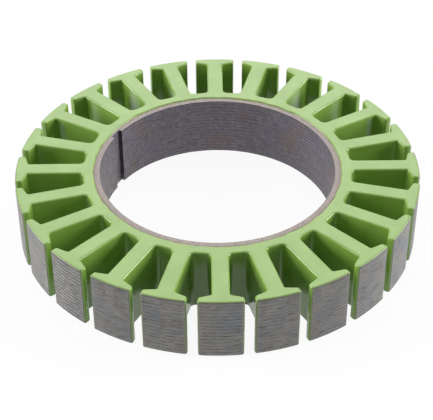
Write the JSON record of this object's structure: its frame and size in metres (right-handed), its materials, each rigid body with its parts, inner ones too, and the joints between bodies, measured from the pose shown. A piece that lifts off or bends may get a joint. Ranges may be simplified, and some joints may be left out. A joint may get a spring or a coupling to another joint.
{
  "type": "stator lamination stack",
  "caption": "Ring of outward T-shaped teeth in stacked electrical-steel sheet, green epoxy film on end faces and slots, bare pole faces and keyed bore: stator core of an outrunner motor.",
  "frame": {"origin": "centre of the underside, on the bore's axis", "axes": "+Z along the bore's axis, away from the face that the stack stands on; a tooth lies along +X, and the bore's keyway is at 150 degrees from +X towards +Y"},
  "size_m": [0.05, 0.05, 0.0082],
  "materials": {
    "electrical_steel": "punched and ground edges of silicon steel sheet, dull grey with fine lines along the sheets",
    "epoxy_film": "green epoxy powder coating, smooth, semi-gloss, with soft edges"
  },
  "bodies": {
    "root": {"lamination_bottom": "electrical_steel", "laminations_inner": "electrical_steel", "lamination_top": "electrical_steel", "epoxy_coating": "epoxy_film"}
  },
  "joints": []
}
